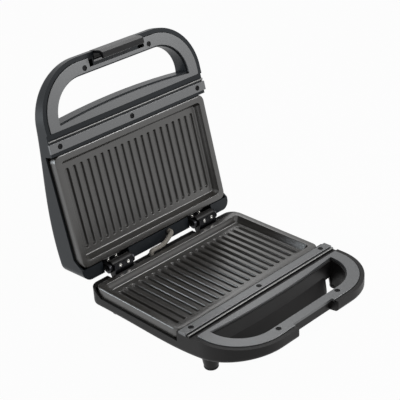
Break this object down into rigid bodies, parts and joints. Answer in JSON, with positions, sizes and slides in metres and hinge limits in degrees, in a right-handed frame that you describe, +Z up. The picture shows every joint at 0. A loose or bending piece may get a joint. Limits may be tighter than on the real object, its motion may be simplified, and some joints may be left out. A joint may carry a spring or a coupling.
{
  "type": "panini press",
  "caption": "Open two-slice contact grill: base and lid with ribbed griddle plates, loop handles, a floating rear hinge and a latch clip in the lid handle.",
  "frame": {"origin": "on the table, under the middle of the open press's overall box", "axes": "+X is the user's right, +Y is the back (hinge side), +Z is up; the lid stands open"},
  "size_m": [0.2366, 0.309, 0.2785],
  "materials": {
    "casing_plastic": "moulded heat-resistant plastic, fine satin grain, brown-black",
    "cover_plastic": "satin silver-grey finish",
    "plate_coating": "cast aluminium with a dark matt non-stick coating",
    "bright_trim": "bright plated rod",
    "dark_screw": "blackened steel",
    "bright_screw": "bright zinc-plated steel",
    "hinge_steel": "plain steel",
    "element_steel": "heat-toned steel sheath",
    "pan_aluminium": "thin bright sheet",
    "pad_rubber": "matt black rubber",
    "latch_plastic": "satin black plastic",
    "sleeve_silicone": "pale woven and silicone sleeve",
    "grommet_rubber": "matt black rubber",
    "inner_plastic": "pale ceramic-filled plastic",
    "red_lens": "clear red lens",
    "green_lens": "clear green lens"
  },
  "bodies": {
    "base": {"base_casing": "casing_plastic", "base_cover_screws": "dark_screw", "base_element_clamps": "element_steel", "base_front_strip": "cover_plastic", "base_griddle_plate": "plate_coating", "base_handle_cover": "cover_plastic", "base_heating_element": "element_steel", "base_hinge_plate_left": "hinge_steel", "base_hinge_plate_right": "hinge_steel", "base_hinge_screws": "bright_screw", "base_leads": "sleeve_silicone", "base_pan_screws": "dark_screw", "base_reflector_pan": "pan_aluminium", "base_sleeve_grommet": "grommet_rubber", "base_strip_screws": "dark_screw", "base_trim_rod": "bright_trim", "front_foot_pads": "pad_rubber", "rear_foot_pads": "pad_rubber", "terminal_block": "inner_plastic", "thermal_fuse": "inner_plastic", "cord_inlet_bush": "grommet_rubber"},
    "hinge_pins": {"hinge_pin_left": "hinge_steel", "hinge_pin_right": "hinge_steel", "wire_sleeve": "sleeve_silicone"},
    "lid": {"lamp_holder": "inner_plastic", "latch_pin": "hinge_steel", "lid_casing": "casing_plastic", "lid_cover_screws": "dark_screw", "lid_element_clamps": "element_steel", "lid_front_strip": "cover_plastic", "lid_griddle_plate": "plate_coating", "lid_handle_cover": "cover_plastic", "lid_heating_element": "element_steel", "lid_hinge_arm_left": "hinge_steel", "lid_hinge_arm_right": "hinge_steel", "lid_hinge_screws": "bright_screw", "lid_leads": "sleeve_silicone", "lid_pan_screws": "dark_screw", "lid_reflector_pan": "pan_aluminium", "lid_sleeve_grommet": "grommet_rubber", "lid_strip_screws": "dark_screw", "lid_trim_rod": "bright_trim", "power_lamp_lens": "red_lens", "ready_lamp_lens": "green_lens", "thermostat": "inner_plastic"},
    "latch": {"latch_clip": "latch_plastic"}
  },
  "joints": [
    {"name": "hinge_float", "type": "slide", "parent": "base", "child": "hinge_pins", "axis": [0, 0, 1], "range_m": [0, 0.003]},
    {"name": "lid_hinge", "type": "hinge", "parent": "hinge_pins", "child": "lid", "pos_m": [0, 0.08696, 0.0405], "axis": [1, 0, 0], "range_deg": [0, 102.9], "deforming": ["wire_sleeve"]},
    {"name": "latch_pivot", "type": "hinge", "parent": "lid", "child": "latch", "pos_m": [0, 0.14662, 0.26741], "axis": [-1, 0, 0], "range_deg": [-7.5, 30]}
  ]
}
